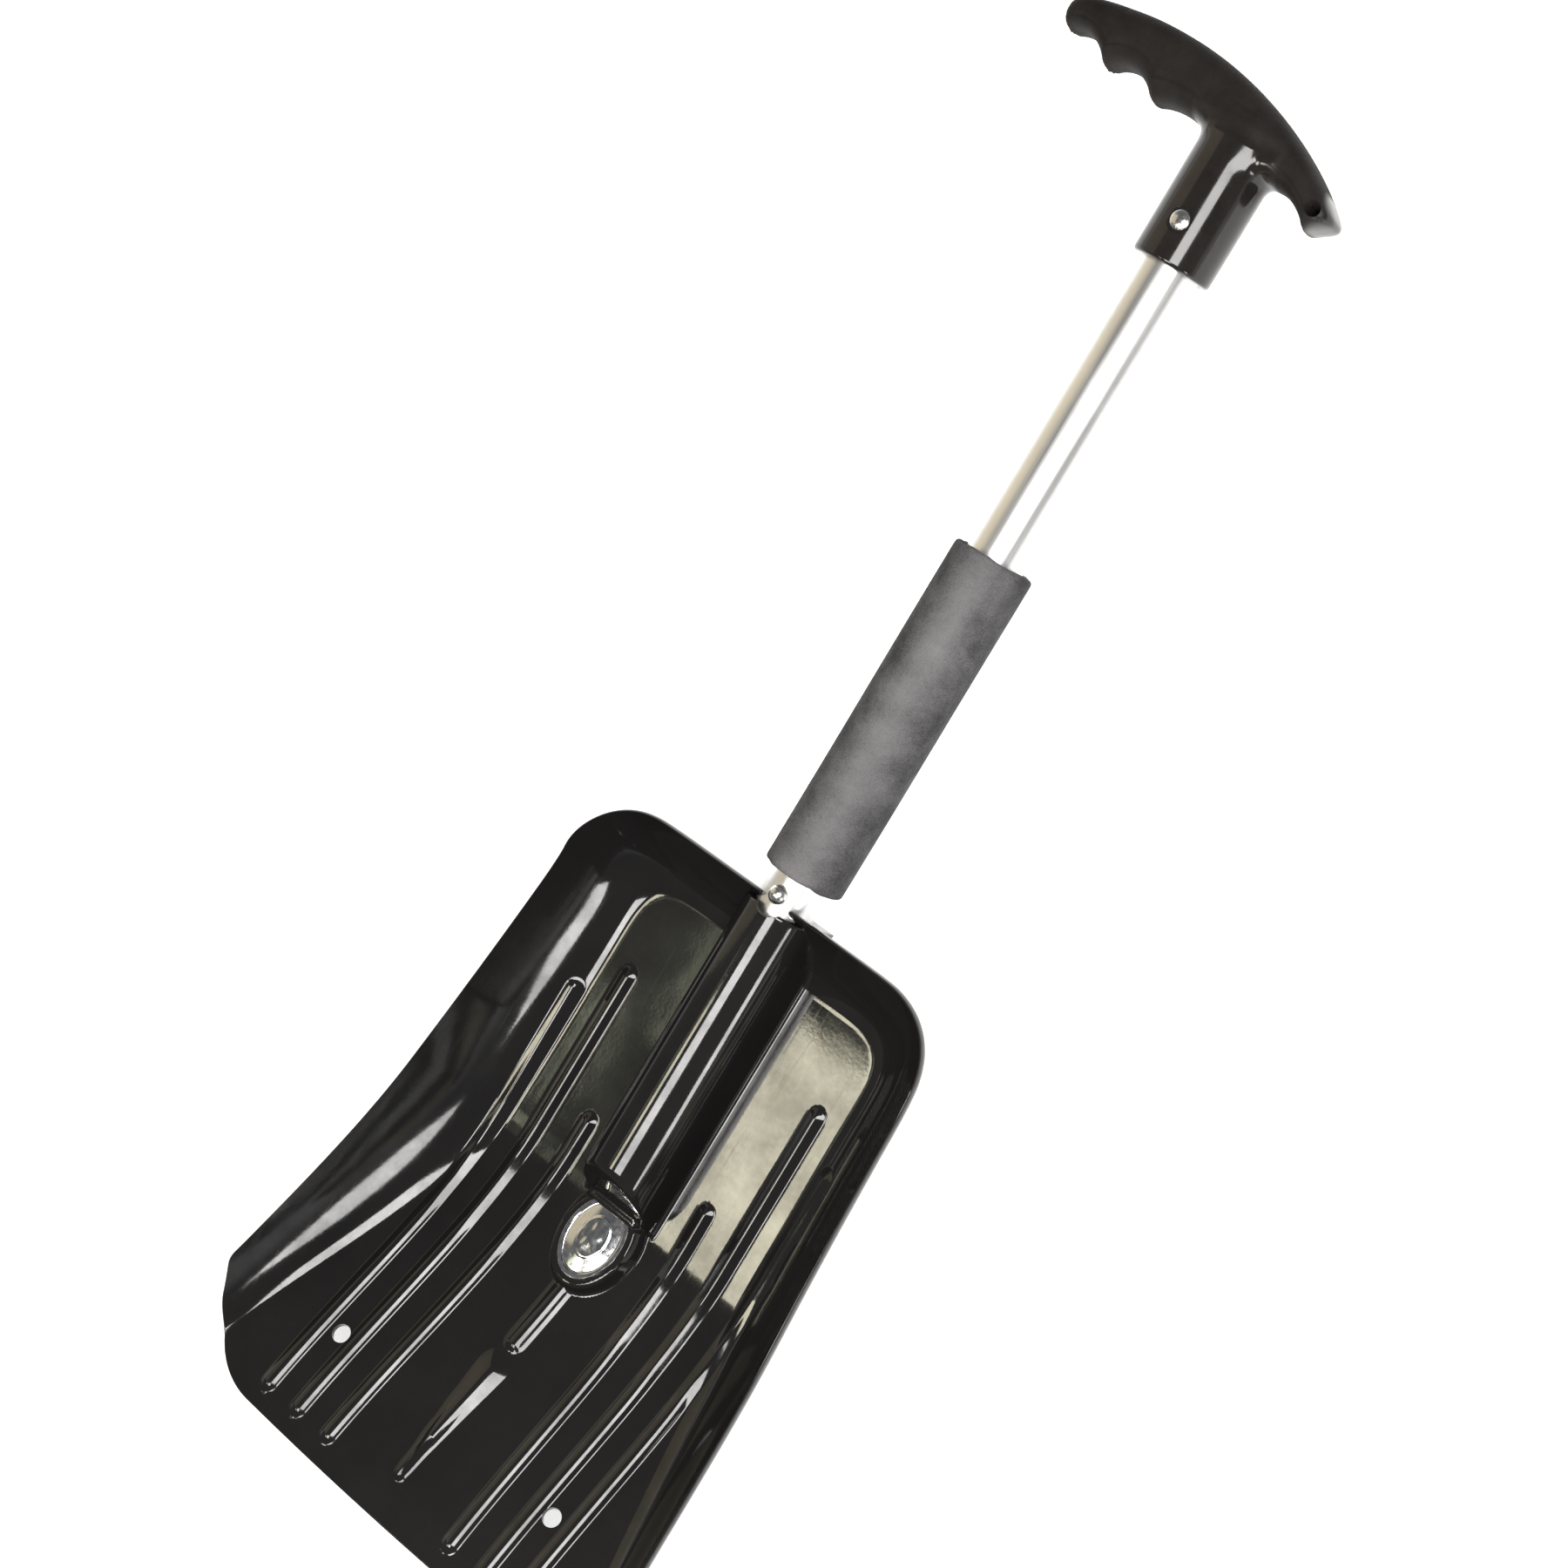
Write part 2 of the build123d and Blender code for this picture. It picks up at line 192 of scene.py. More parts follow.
def dress(piece, material):
    """Gives the piece one material and no other."""
    piece.data.materials.clear()
    piece.data.materials.append(material)


def bake_modifiers(piece):
    """Turns the piece's modifiers into its mesh."""
    graph = bpy.context.evaluated_depsgraph_get()
    mesh = bpy.data.meshes.new_from_object(piece.evaluated_get(graph))
    piece.modifiers.clear()
    piece.data = mesh


def cut(piece, cutters):
    """Subtracts each cutter from the piece."""
    for cutter in cutters:
        modifier = piece.modifiers.new("cut", "BOOLEAN")
        modifier.object = cutter
        modifier.operation = "DIFFERENCE"
        modifier.solver = "EXACT"
    bpy.context.view_layer.update()
    bake_modifiers(piece)
    for cutter in cutters:
        bpy.data.objects.remove(cutter)


def round_corners(profile, radius, steps=5, closed=False):
    """A polyline with its corners turned into arcs, radius or less."""
    count = len(profile)
    result = []
    for i, corner in enumerate(profile):
        if not closed and i in (0, count - 1):
            result.append(corner)
            continue
        corner = np.array(corner, float)
        before = np.array(profile[i - 1], float) - corner
        after = np.array(profile[(i + 1) % count], float) - corner
        reach = min(radius, 0.45 * np.hypot(*before), 0.45 * np.hypot(*after))
        start = corner + before / np.hypot(*before) * reach
        end = corner + after / np.hypot(*after) * reach
        for k in range(steps + 1):
            t = k / steps
            point = (1 - t) ** 2 * start + 2 * t * (1 - t) * corner + t**2 * end
            result.append(tuple(point))
    return result


def revolve(profile, segments, closed):
    """Turns (radius, height) points about Z. A closed profile makes a ring, an open one a solid."""
    points = []
    faces = []
    rings = []
    for radius, height in profile:
        if radius < 1e-7:
            rings.append([len(points)] * segments)
            points.append((0.0, 0.0, height))
            continue
        rings.append(list(range(len(points), len(points) + segments)))
        for k in range(segments):
            angle = 2 * math.pi * k / segments
            points.append((radius * math.cos(angle), radius * math.sin(angle), height))
    pairs = list(zip(rings, rings[1:] + rings[:1])) if closed else list(zip(rings, rings[1:]))
    for low, high in pairs:
        for k in range(segments):
            face = [low[k], low[(k + 1) % segments], high[(k + 1) % segments], high[k]]
            faces.append(tuple(dict.fromkeys(face)))
    return np.array(points), faces


def placed(points, matrix):
    """The points moved by a matrix."""
    turn = np.array(matrix.to_3x3())
    return np.asarray(points) @ turn.T + np.array(matrix.translation)


def cylinder_cutter(matrix, radius, low, high, segments=96):
    """A plain cylinder along the matrix's Z, for cutting."""
    points, faces = revolve([(0, low), (radius, low), (radius, high), (0, high)], segments, False)
    return make_piece("cutter", placed(points, matrix), faces, None)


def countersink_cutter(matrix, side):
    """A cone that opens outwards, to bevel the lanyard hole's mouth."""
    profile = [(0, 9 * MM), (1.6 * MM, 9 * MM), (4.6 * MM, 15 * MM), (0, 15 * MM)]
    if side < 0:
        profile = [(radius, -height) for radius, height in profile[::-1]]
    points, faces = revolve(profile, 48, False)
    return make_piece("cutter", placed(points, matrix), faces, None)


ALONG_SHAFT = Matrix.Rotation(math.radians(-90), 4, "X")


# ---- blade surface ----


def smooth_step(t):
    t = np.clip(t, 0, 1)
    return t * t * (3 - 2 * t)


def soft_max(a, b, width):
    """The larger of two heights, with a fillet where they cross."""
    near = np.maximum(width - np.abs(a - b), 0) / width
    return np.maximum(a, b) + near**2 * width / 4


def soft_min(a, b, width):
    return -soft_max(-a, -b, width)


def floor_rise(y):
    """How far the floor has risen towards the cutting edge."""
    t = np.clip((BEND_Y - y) / (BLADE_LENGTH + BEND_Y), 0, 1.06)
    return FLOOR_RISE * (2.25 * t**2 - 1.25 * t**3)


def side_x(y):
    """Half the blade's width at its rim, before the corners."""
    return TOP_HALF_WIDTH - SIDE_FLARE * y + SIDE_CURVE * y**2


def rim_height(y):
    return RIM_Z - RIM_SLOPE * y + RIM_FOLLOWS_FLOOR * floor_rise(y)


def inset(x, y):
    """Distance inwards from the rim, with rounded corners at the top."""
    side = np.maximum(CORNER_REACH - 0.99 * (side_x(y) - np.abs(x)), 0)
    top = np.maximum(CORNER_REACH + y, 0)
    return CORNER_REACH - (side**CORNER_POWER + top**CORNER_POWER) ** (1 / CORNER_POWER)


def dish_height(x, y):
    """The hollow face without its ribs: a flat floor and walls that curve up to the rim."""
    floor = FLOOR_Z + floor_rise(y)
    height = rim_height(y) - floor
    climb = np.maximum(1 - inset(x, y) / (WALL_REACH * height), 0)
    return floor + height * climb**WALL_CURVE


def capsule_bump(x, y, start, end, start_r, end_r, crest):
    """A roof over a round-ended strip: 1 at the ridge, 0 at the edge, with a softened crest."""
    dx = end[0] - start[0]
    dy = end[1] - start[1]
    t = np.clip(((x - start[0]) * dx + (y - start[1]) * dy) / (dx**2 + dy**2), 0, 1)
    distance = np.hypot(x - start[0] - t * dx, y - start[1] - t * dy)
    radius = start_r + (end_r - start_r) * t
    fall = np.sqrt(np.minimum(distance / radius, 1) ** 2 + crest**2)
    return (np.sqrt(1 + crest**2) - fall) / (np.sqrt(1 + crest**2) - crest)


def rib_lift(x, y, narrowing):
    """Height added by the long ribs and the keel."""
    lift = np.zeros_like(x)
    rounding = smooth_step((CREST_ROUNDS_FROM_Y - y) / CREST_ROUNDS_OVER)
    crest = SHARP_CREST + (ROUND_CREST - SHARP_CREST) * rounding
    rib_r = RIB_HALF_WIDTH - narrowing
    for x_top, y_top, x_end in RIBS:
        start = (x_top, y_top)
        bump = capsule_bump(np.abs(x), y, start, (x_end, RIB_END_Y), rib_r, rib_r, crest)
        lift = np.maximum(lift, RIB_LIFT * bump)
    head = (0, KEEL_HEAD_Y)
    tail = (0, KEEL_TAIL_Y)
    drop = capsule_bump(x, y, head, tail, KEEL_HEAD_R - narrowing, KEEL_TAIL_R, SHARP_CREST)
    neck_end = (0, KEEL_HEAD_Y + KEEL_HEAD_R + KEEL_NECK_R)
    neck_r = KEEL_NECK_R - narrowing
    neck = capsule_bump(x, y, (0, BADGE_Y), neck_end, neck_r, neck_r, SHARP_CREST)
    return np.maximum(lift, KEEL_LIFT * np.maximum(drop, neck))


def badge_plane(y):
    """Height of the tilted plane that the badge lies in."""
    return BADGE_Z + math.tan(BADGE_TILT) * (y - BADGE_Y)


def front_height(x, y):
    """The whole hollow face: dish, ribs, keel, badge boss and socket ridge."""
    dish = dish_height(x, y)
    height = dish + rib_lift(x, y, 0)

    half_width = BADGE_HALF_WIDTH + BADGE_MARGIN
    oval = np.hypot(x / half_width, (y - BADGE_Y) / (BADGE_HALF_LENGTH + BADGE_MARGIN))
    boss = badge_plane(y) - BOSS_STEEPNESS * half_width * np.maximum(oval - 1, 0)
    height = soft_max(height, np.where(oval < 2, boss, -1.0), BOSS_FILLET)

    top = np.sqrt(np.maximum(SOCKET_R**2 - np.minimum(np.abs(x), SOCKET_ROUND_TO) ** 2, 0))
    beyond = np.maximum(np.abs(x) - SOCKET_ROUND_TO, 0)
    fall = (SOCKET_R - SOCKET_FOOT_Z) / (SOCKET_END_Y - SOCKET_FOOT_Y)
    end_slope = SOCKET_R + fall * (y - SOCKET_END_Y)
    ridge = soft_min(top, end_slope, SOCKET_END_FILLET) - SOCKET_SIDE_STEEPNESS * beyond
    mouth = np.clip((y - SOCKET_TOP_Y + SOCKET_MOUTH_ROUNDING) / SOCKET_MOUTH_ROUNDING, 0, 1)
    ridge = ridge - SOCKET_MOUTH_ROUNDING * (1 - np.sqrt(1 - mouth**2))
    ridge = np.where(y > SOCKET_TOP_Y, -1.0, ridge)

    side = SOCKET_ROUND_TO + SOCKET_R / SOCKET_SIDE_STEEPNESS
    across = np.clip((np.abs(x) - side) / SOCKET_BASE_FILLET, 0, 1)
    fillet = SOCKET_BASE_FILLET * (1 - np.sqrt(1 - (1 - across) ** 2))
    fillet = np.minimum(fillet, np.maximum(end_slope - dish, 0))
    fillet = fillet * np.clip(-dish / (2 * SOCKET_BASE_FILLET), 0, 1)
    return soft_max(height + fillet, ridge, BOSS_FILLET)


def back_height(x, y):
    """The back: a wall's thickness behind the dish, grooved under the ribs, with the socket's base."""
    step = 0.5 * MM
    slope_x = (dish_height(x + step, y) - dish_height(x - step, y)) / (2 * step)
    slope_y = (dish_height(x, y + step) - dish_height(x, y - step)) / (2 * step)
    back = dish_height(x, y) - WALL_THICKNESS * np.sqrt(1 + slope_x**2 + slope_y**2)
    back = back + rib_lift(x, y, BACK_GROOVE_NARROWING)
    beyond = np.maximum(np.abs(x) - SOCKET_R, 0) + np.maximum(y - SOCKET_TOP_Y, 0)
    beyond = beyond + np.maximum(SOCKET_FOOT_Y - y, 0) / 8
    base = -ORIGIN.z + SOCKET_SIDE_STEEPNESS * beyond
    return soft_min(back, base, 0.3 * MM)


# ---- blade outline and grid ----


def arc_between(start, corner, end, radius, steps):
    """Points of the arc that rounds a corner, in order from start to end."""
    start, corner, end = (np.array(p) for p in (start, corner, end))
    into = (start - corner) / np.hypot(*(start - corner))
    out = (end - corner) / np.hypot(*(end - corner))
    half_angle = math.acos(float(into @ out)) / 2
    middle = (into + out) / np.hypot(*(into + out))
    centre = corner + middle * radius / math.sin(half_angle)
    first = corner + into * radius / math.tan(half_angle) - centre
    last = corner + out * radius / math.tan(half_angle) - centre
    turn = math.atan2(first[0] * last[1] - first[1] * last[0], float(first @ last))
    points = []
    for k in range(steps + 1):
        angle = turn * k / steps
        x = first[0] * math.cos(angle) - first[1] * math.sin(angle)
        y = first[0] * math.sin(angle) + first[1] * math.cos(angle)
        points.append(centre + np.array([x, y]))
    return points


def half_outline():
    """The right half of the outline, from the top's middle to the edge's, with the edge straight."""
    corner_x = side_x(-TOP_CORNER_R)
    points = [np.array((0.0, 0.0))]
    for k in range(61):
        angle = math.pi / 2 * (1 - k / 60)
        x = corner_x - TOP_CORNER_R + TOP_CORNER_R * math.cos(angle)
        y = -TOP_CORNER_R + TOP_CORNER_R * math.sin(angle)
        points.append(np.array((x, y)))
    shoulder = (side_x(SHOULDER_Y), SHOULDER_Y)
    edge_corner = (EDGE_HALF_WIDTH, -BLADE_LENGTH)
    above = (side_x(SHOULDER_Y + 0.03), SHOULDER_Y + 0.03)
    shoulder_arc = arc_between(above, shoulder, edge_corner, SHOULDER_R, 16)
    for y in np.arange(-TOP_CORNER_R - 0.002, shoulder_arc[0][1], -0.002):
        points.append(np.array((side_x(y), y)))
    points += shoulder_arc
    points += arc_between(shoulder, edge_corner, (0.0, -BLADE_LENGTH), EDGE_CORNER_R, 60)
    points.append(np.array((0.0, -BLADE_LENGTH)))
    return np.array(points)


def inwards(points, distance):
    """An outline drawn in by a distance."""
    along = np.gradient(points, axis=0)
    along[0] = (1, 0)
    along[-1] = (-1, 0)
    normal = np.c_[along[:, 1], -along[:, 0]] / np.hypot(*along.T)[:, None]
    return points + normal * distance


def blade_rows():
    """The y of each row of the grid: close together at both ends and at the socket's mouth."""
    first = -RIM_ROUNDING
    last = RIM_ROUNDING - BLADE_LENGTH
    ends = 0.05 * MM * np.arange(11) ** 2
    middle = np.arange(first - 5.9 * MM, last + 5.9 * MM, -1.05 * MM)
    mouth = SOCKET_TOP_Y + np.array([0.15, 0.0, -0.1, -0.3, -0.6, -0.9]) * MM
    foot = SOCKET_FOOT_Y + np.array([-0.3, 0.3]) * MM
    rows = np.concatenate([first - ends, middle, last + ends, mouth, foot])
    return np.unique(rows.round(6))[::-1]


def blade_columns():
    """Distances from the middle line: dense on the ridge's sides and the ribs."""
    ridge = SOCKET_R * np.sin(np.radians(np.linspace(0, 86, 17)))
    side = np.linspace(SOCKET_ROUND_TO, 17.75 * MM, 6)[1:]
    fillet = np.linspace(17.9, 20.1, 6) * MM
    columns = [ridge, side, fillet]
    position = RIB_COLUMNS_FROM
    for x_top, _, _ in RIBS:
        low = x_top - RIB_BAND
        gap = max(2, round((low - position) / (1.5 * MM)))
        columns.append(np.linspace(position, low, gap, endpoint=False))
        columns.append(np.linspace(low, x_top + RIB_BAND, 18, endpoint=False))
        position = x_top + RIB_BAND
    columns.append([position])
    return np.concatenate(columns)


def follow_ribs(columns, y):
    """The columns of one row, moved sideways so that they run along the ribs."""
    before = [0.0, RIB_COLUMNS_FROM]
    after = [0.0, RIB_COLUMNS_FROM]
    for x_top, y_top, x_end in RIBS:
        moved = (x_end - x_top) * min(max((y_top - y) / (y_top - RIB_END_Y), 0.0), 1.0)
        before += [x_top - RIB_BAND, x_top + RIB_BAND]
        after += [x_top - RIB_BAND + moved, x_top + RIB_BAND + moved]
    return np.interp(columns, before, after)


def blade_grid():
    """x and y of every grid point. Outer columns stretch to the outline."""
    outline = inwards(half_outline(), RIM_ROUNDING)
    rows = blade_rows()
    core = np.array([follow_ribs(blade_columns(), y) for y in rows])
    core_edge = core[:, -1]
    widths = np.interp(-rows, -outline[1:-1, 1], outline[1:-1, 0])
    outer_count = 24
    stretch = 1 - (1 - np.arange(1, outer_count + 1) / outer_count) ** 1.15
    squeeze = np.minimum(1, (widths - 13 * MM) / core_edge)
    inner = core_edge * squeeze
    outer = inner[:, None] + (widths - inner)[:, None] * stretch[None, :]
    half = np.concatenate([core * squeeze[:, None], outer], axis=1)
    x = np.concatenate([-half[:, :0:-1], half], axis=1)
    bow = smooth_step((EDGE_BOW_FROM_Y - rows) / (BLADE_LENGTH + EDGE_BOW_FROM_Y))
    y = rows[:, None] + EDGE_BOW * (x / EDGE_HALF_WIDTH) ** 2 * bow[:, None]
    return x, y


def shell_from_grid(x, y, front, back, rounding, loops):
    """A closed shell from two height grids, joined by a rounded rim of several loops."""
    rows, columns = x.shape
    index = np.arange(rows * columns).reshape(rows, columns)
    top = np.c_[x.ravel(), y.ravel(), front.ravel()]
    bottom = np.c_[x.ravel(), y.ravel(), back.ravel()]
    quads = np.stack([index[:-1, :-1], index[1:, :-1], index[1:, 1:], index[:-1, 1:]], axis=-1)
    quads = quads.reshape(-1, 4)
    ring = np.concatenate([index[0, :], index[1:, -1], index[-1, -2::-1], index[-2:0:-1, 0]])
    along = np.roll(top[ring, :2], -1, axis=0) - np.roll(top[ring, :2], 1, axis=0)
    normal = np.c_[-along[:, 1], along[:, 0]] / np.hypot(*along.T)[:, None]
    count = len(ring)
    points = [top, bottom]
    bands = [ring]
    start = 2 * rows * columns
    for k in range(1, loops):
        angle = math.pi * k / loops
        middle = (top[ring, 2] + bottom[ring, 2]) / 2
        half = (top[ring, 2] - bottom[ring, 2]) / 2
        loop = np.empty((count, 3))
        loop[:, :2] = top[ring, :2] + normal * rounding * math.sin(angle)
        loop[:, 2] = middle + half * math.cos(angle)
        points.append(loop)
        bands.append(start + np.arange(count))
        start += count
    bands.append(ring + rows * columns)
    faces = quads.tolist() + (quads[:, ::-1] + rows * columns).tolist()
    for upper, lower in zip(bands, bands[1:]):
        strip = np.stack([upper, np.roll(upper, -1), np.roll(lower, -1), lower], axis=-1)
        faces += strip.tolist()
    return np.concatenate(points), faces


def hole_matrix(side):
    """An anchor hole's place, with its axis square to the blade."""
    x = side * HOLE_X
    step = 0.5 * MM
    slope = (dish_height(x, HOLE_Y + step) - dish_height(x, HOLE_Y - step)) / (2 * step)
    z = dish_height(x, HOLE_Y) - WALL_THICKNESS / 2
    return Matrix.Translation((x, HOLE_Y, z)) @ Matrix.Rotation(math.atan(slope), 4, "X")


def notch_cutter():
    """The round-bottomed slot in the socket's mouth, for the snap button."""
    outline = [(NOTCH_R, 20 * MM), (-NOTCH_R, 20 * MM)]
    centre_y = SOCKET_TOP_Y + NOTCH_R - NOTCH_DEPTH
    for k in range(33):
        angle = math.pi + math.pi * k / 32
        outline.append((NOTCH_R * math.cos(angle), centre_y + NOTCH_R * math.sin(angle)))
    points = [(x, y, 0.0) for x, y in outline] + [(x, y, 40 * MM) for x, y in outline]
    count = len(outline)
    faces = [tuple(range(count))[::-1], tuple(range(count, 2 * count))]
    for k in range(count):
        after = (k + 1) % count
        faces.append((k, after, after + count, k + count))
    return make_piece("cutter", points, faces, None)


def make_blade(material):
    x, y = blade_grid()
    points, faces = shell_from_grid(x, y, front_height(x, y), back_height(x, y), RIM_ROUNDING, 6)
    blade = make_piece("blade_shell", points, faces, "blade", ("blade",))
    cutters = [
        cylinder_cutter(ALONG_SHAFT, BORE_R, SOCKET_BORE_END_Y, 40 * MM),
        notch_cutter(),
        cylinder_cutter(hole_matrix(-1), HOLE_R, -10 * MM, 10 * MM, 64),
        cylinder_cutter(hole_matrix(1), HOLE_R, -10 * MM, 10 * MM, 64),
    ]
    cut(blade, cutters)
    shade_smooth(blade, math.radians(50))
    dress(blade, material)


# ---- badge ----


def badge_relief(r, angle):
    """Height of the badge's face: a raised rim, a groove, and a domed field with a low oval step."""
    rim = smooth_step((r - 0.85) / 0.04) * smooth_step((1.02 - r) / 0.05)
    field = np.clip(1 - (r / 0.82) ** 2, 0, 1)
    step = smooth_step((0.52 - r) / 0.05)
    petals = (0.5 + 0.5 * np.cos(angle * 5 + 0.6)) * smooth_step((r - 0.1) / 0.2)
    petals = petals * smooth_step((0.46 - r) / 0.12)
    return (0.75 * rim + 1.5 * field + 0.25 * step - 0.2 * petals) * MM


def make_badge(material):
    """An oval medallion, set in the boss below the socket."""
    rings = 44
    segments = 144
    seat = -1.2 * MM
    points = [(0.0, 0.0, badge_relief(0.0, 0.0))]
    for i in range(1, rings + 1):
        r = i / rings
        for k in range(segments):
            angle = 2 * math.pi * k / segments
            x = BADGE_HALF_WIDTH * r * math.cos(angle)
            y = BADGE_HALF_LENGTH * r * math.sin(angle)
            points.append((x, y, badge_relief(r, angle)))
    for k in range(segments):
        angle = 2 * math.pi * k / segments
        x = BADGE_HALF_WIDTH * math.cos(angle)
        y = BADGE_HALF_LENGTH * math.sin(angle)
        points.append((x, y, seat))
    points.append((0.0, 0.0, seat))
    faces = [(0, 1 + k, 1 + (k + 1) % segments) for k in range(segments)]
    for i in range(rings):
        low = 1 + i * segments
        high = low + segments
        for k in range(segments):
            after = (k + 1) % segments
            faces.append((low + k, high + k, high + after, low + after))
    last = len(points) - 1
    low = last - segments
    faces += [(low + k, last, low + (k + 1) % segments) for k in range(segments)]
    matrix = Matrix.Translation((0, BADGE_Y, BADGE_Z)) @ Matrix.Rotation(BADGE_TILT, 4, "X")
    points = placed(points, matrix)
    badge = make_piece("badge_medallion", points, faces, "blade", ("badge",))
    shade_smooth(badge)
    dress(badge, material)


# ---- handle ----


def make_tube(material):
    """The aluminium tube, open at both ends, with the button's hole."""
    bottom = TUBE_LOW.y - ORIGIN.y
    top = TUBE_HIGH.y - ORIGIN.y
    inner = TUBE_R - 1.2 * MM
    corners = [(inner, bottom), (TUBE_R, bottom), (TUBE_R, top), (inner, top)]
    points, faces = revolve(round_corners(corners, 0.4 * MM, 4, True), 160, True)
    points = placed(points, ALONG_SHAFT)
    tube = make_piece("tube_shell", points, faces, "handle", ("shaft_tube",))
    hole = Matrix.Translation((0, BUTTON_Y, 0))
    button_r = (BUTTON_HIGH.x - BUTTON_LOW.x) / 2 - 1.1 * MM
    cut(tube, [cylinder_cutter(hole, button_r, 5 * MM, 20 * MM, 64)])
    shade_smooth(tube)
    dress(tube, material)


def divided(profile, longest):
    """A closed profile with points added, so that no side is much over the longest length."""
    result = []
    for point, after in zip(profile, profile[1:] + profile[:1]):
        result.append(point)
        across = after[0] - point[0]
        along = after[1] - point[1]
        pieces = max(1, round(math.hypot(across, along) / longest))
        for k in range(1, pieces):
            t = k / pieces
            result.append((point[0] + across * t, point[1] + along * t))
    return result


def make_foam(material):
    """The foam sleeve: a thick soft tube with slightly uneven, rounded ends."""
    segments = 144
    bottom = FOAM_LOW.y - ORIGIN.y
    top = FOAM_HIGH.y - ORIGIN.y
    middle = (bottom + top) / 2
    inner = TUBE_R + 0.05 * MM
    corners = [(inner, bottom), (FOAM_R, bottom), (FOAM_R, top), (inner, top)]
    profile = divided(round_corners(corners, 2.2 * MM, 7, True), 1.6 * MM)
    points, faces = revolve(profile, segments, True)
    for point in points:
        radius = math.hypot(point[0], point[1])
        outward = max(0.0, (radius - inner) / (FOAM_R - inner))
        around = Vector((point[0], point[1], 0)) / radius
        swell = noise.noise(Vector((point[0] * 40, point[1] * 40, point[2] * 14)))
        radial = -0.35 * MM * outward * (0.5 + 0.5 * swell)
        point[0] += around.x * radial
        point[1] += around.y * radial
        at_end = 5.0 if point[2] > 80 * MM else 1.0
        ragged = noise.noise(Vector((around.x * 2.1, around.y * 2.1, at_end)))
        ends = smooth_step((abs(point[2] - middle) - 60 * MM) / (14 * MM))
        inward = 1.0 if point[2] < middle else -1.0
        point[2] += inward * ends * MM * (0.8 + 1.1 * ragged)
    points = placed(points, ALONG_SHAFT)
    foam = make_piece("foam_grip", points, faces, "handle", ("foam_sleeve",))
    shade_smooth(foam, math.radians(60))
    dress(foam, material)


# ---- T-grip ----

# where the cusps between the finger grooves come down to, and how deep each groove is, in millimetres
LEFT_CUSPS = [(-96, 354.0), (-89, 350.4), (-67, 344.4), (-41.8, 340.9), (-12, 338.0)]
LEFT_DEPTHS = [0.5, 5.6, 6.4, 4.2]
RIGHT_CUSPS = [(12, 331.0), (40, 324.8), (53, 331.5)]
RIGHT_DEPTHS = [6.0, 0.0]


def crown_y(x):
    """The crossbar's top edge."""
    return GRIP_CROWN_Y - GRIP_CROWN_R + np.sqrt(GRIP_CROWN_R**2 - (x - GRIP_CROWN_X) ** 2)


def scallops(x, cusps, depths):
    """A lower edge that arches up between cusps."""
    xs = np.array([c[0] for c in cusps]) * MM
    ys = np.array([c[1] for c in cusps]) * MM
    base = np.interp(x, xs, ys)
    span = np.clip(np.searchsorted(xs, x) - 1, 0, len(depths) - 1)
    t = np.clip((x - xs[span]) / (xs[span + 1] - xs[span]), 0, 1)
    return base + np.array(depths)[span] * MM * np.sin(math.pi * t) ** 0.65


def underside_y(x):
    """The crossbar's bottom edge: the left arm's grooves, then the right arm's."""
    left = scallops(x, LEFT_CUSPS, LEFT_DEPTHS)
    right = scallops(x, RIGHT_CUSPS, RIGHT_DEPTHS)
    return left + (right - left) * smooth_step((x + 12 * MM) / (24 * MM))


def grip_field(p):
    """Negative inside the T-grip, positive outside, zero on its surface."""
    x, y, z = p[:, 0], p[:, 1], p[:, 2]
    within = np.clip(x, GRIP_LEFT_X, GRIP_RIGHT_X)
    top = crown_y(within)
    bottom = underside_y(within)
    middle = (top + bottom) / 2
    half = (top - bottom) / 2
    along = (x - GRIP_MIDDLE_X) / GRIP_HALF_SPAN
    rise = (y - middle) / half
    depth = GRIP_HALF_DEPTH * (1 - GRIP_NARROWS_BY * along**4)
    crease = np.exp(-(((rise - CREASE_RISE) / 0.07) ** 2))
    crease = crease * smooth_step((np.abs(x) - CREASE_FROM_X) / (5 * MM))
    depth = depth - CREASE_DEPTH * crease
    total = np.abs(rise) ** GRIP_POWER + np.abs(z / depth) ** GRIP_POWER
    total = total + np.abs(along) ** GRIP_END_POWER
    bar = (total ** (1 / GRIP_POWER) - 1) * 9 * MM

    taper = np.clip((y - STEM_TAPER_Y) / (STEM_TOP_Y - STEM_TAPER_Y), 0, 1)
    stem_r = STEM_R + (STEM_TOP_R - STEM_R) * taper
    stem = np.maximum(np.hypot(x, z) - stem_r, y - STEM_TOP_Y)
    stem = soft_max(stem, STEM_BOTTOM_Y - y, STEM_END_ROUNDING)
    return soft_min(bar, stem, STEM_BLEND)


def settle(points, field, rounds=6):
    """Moves points along the field's slope until they lie on its surface."""
    step = 0.02 * MM
    for _ in range(rounds):
        value = field(points)
        slope = np.empty_like(points)
        for axis in range(3):
            shift = np.zeros(3)
            shift[axis] = step
            slope[:, axis] = (field(points + shift) - field(points - shift)) / (2 * step)
        length = np.maximum((slope**2).sum(axis=1), 0.2)
        move = slope * (value / length)[:, None]
        points = points - np.clip(move, -0.6 * MM, 0.6 * MM)
    return points


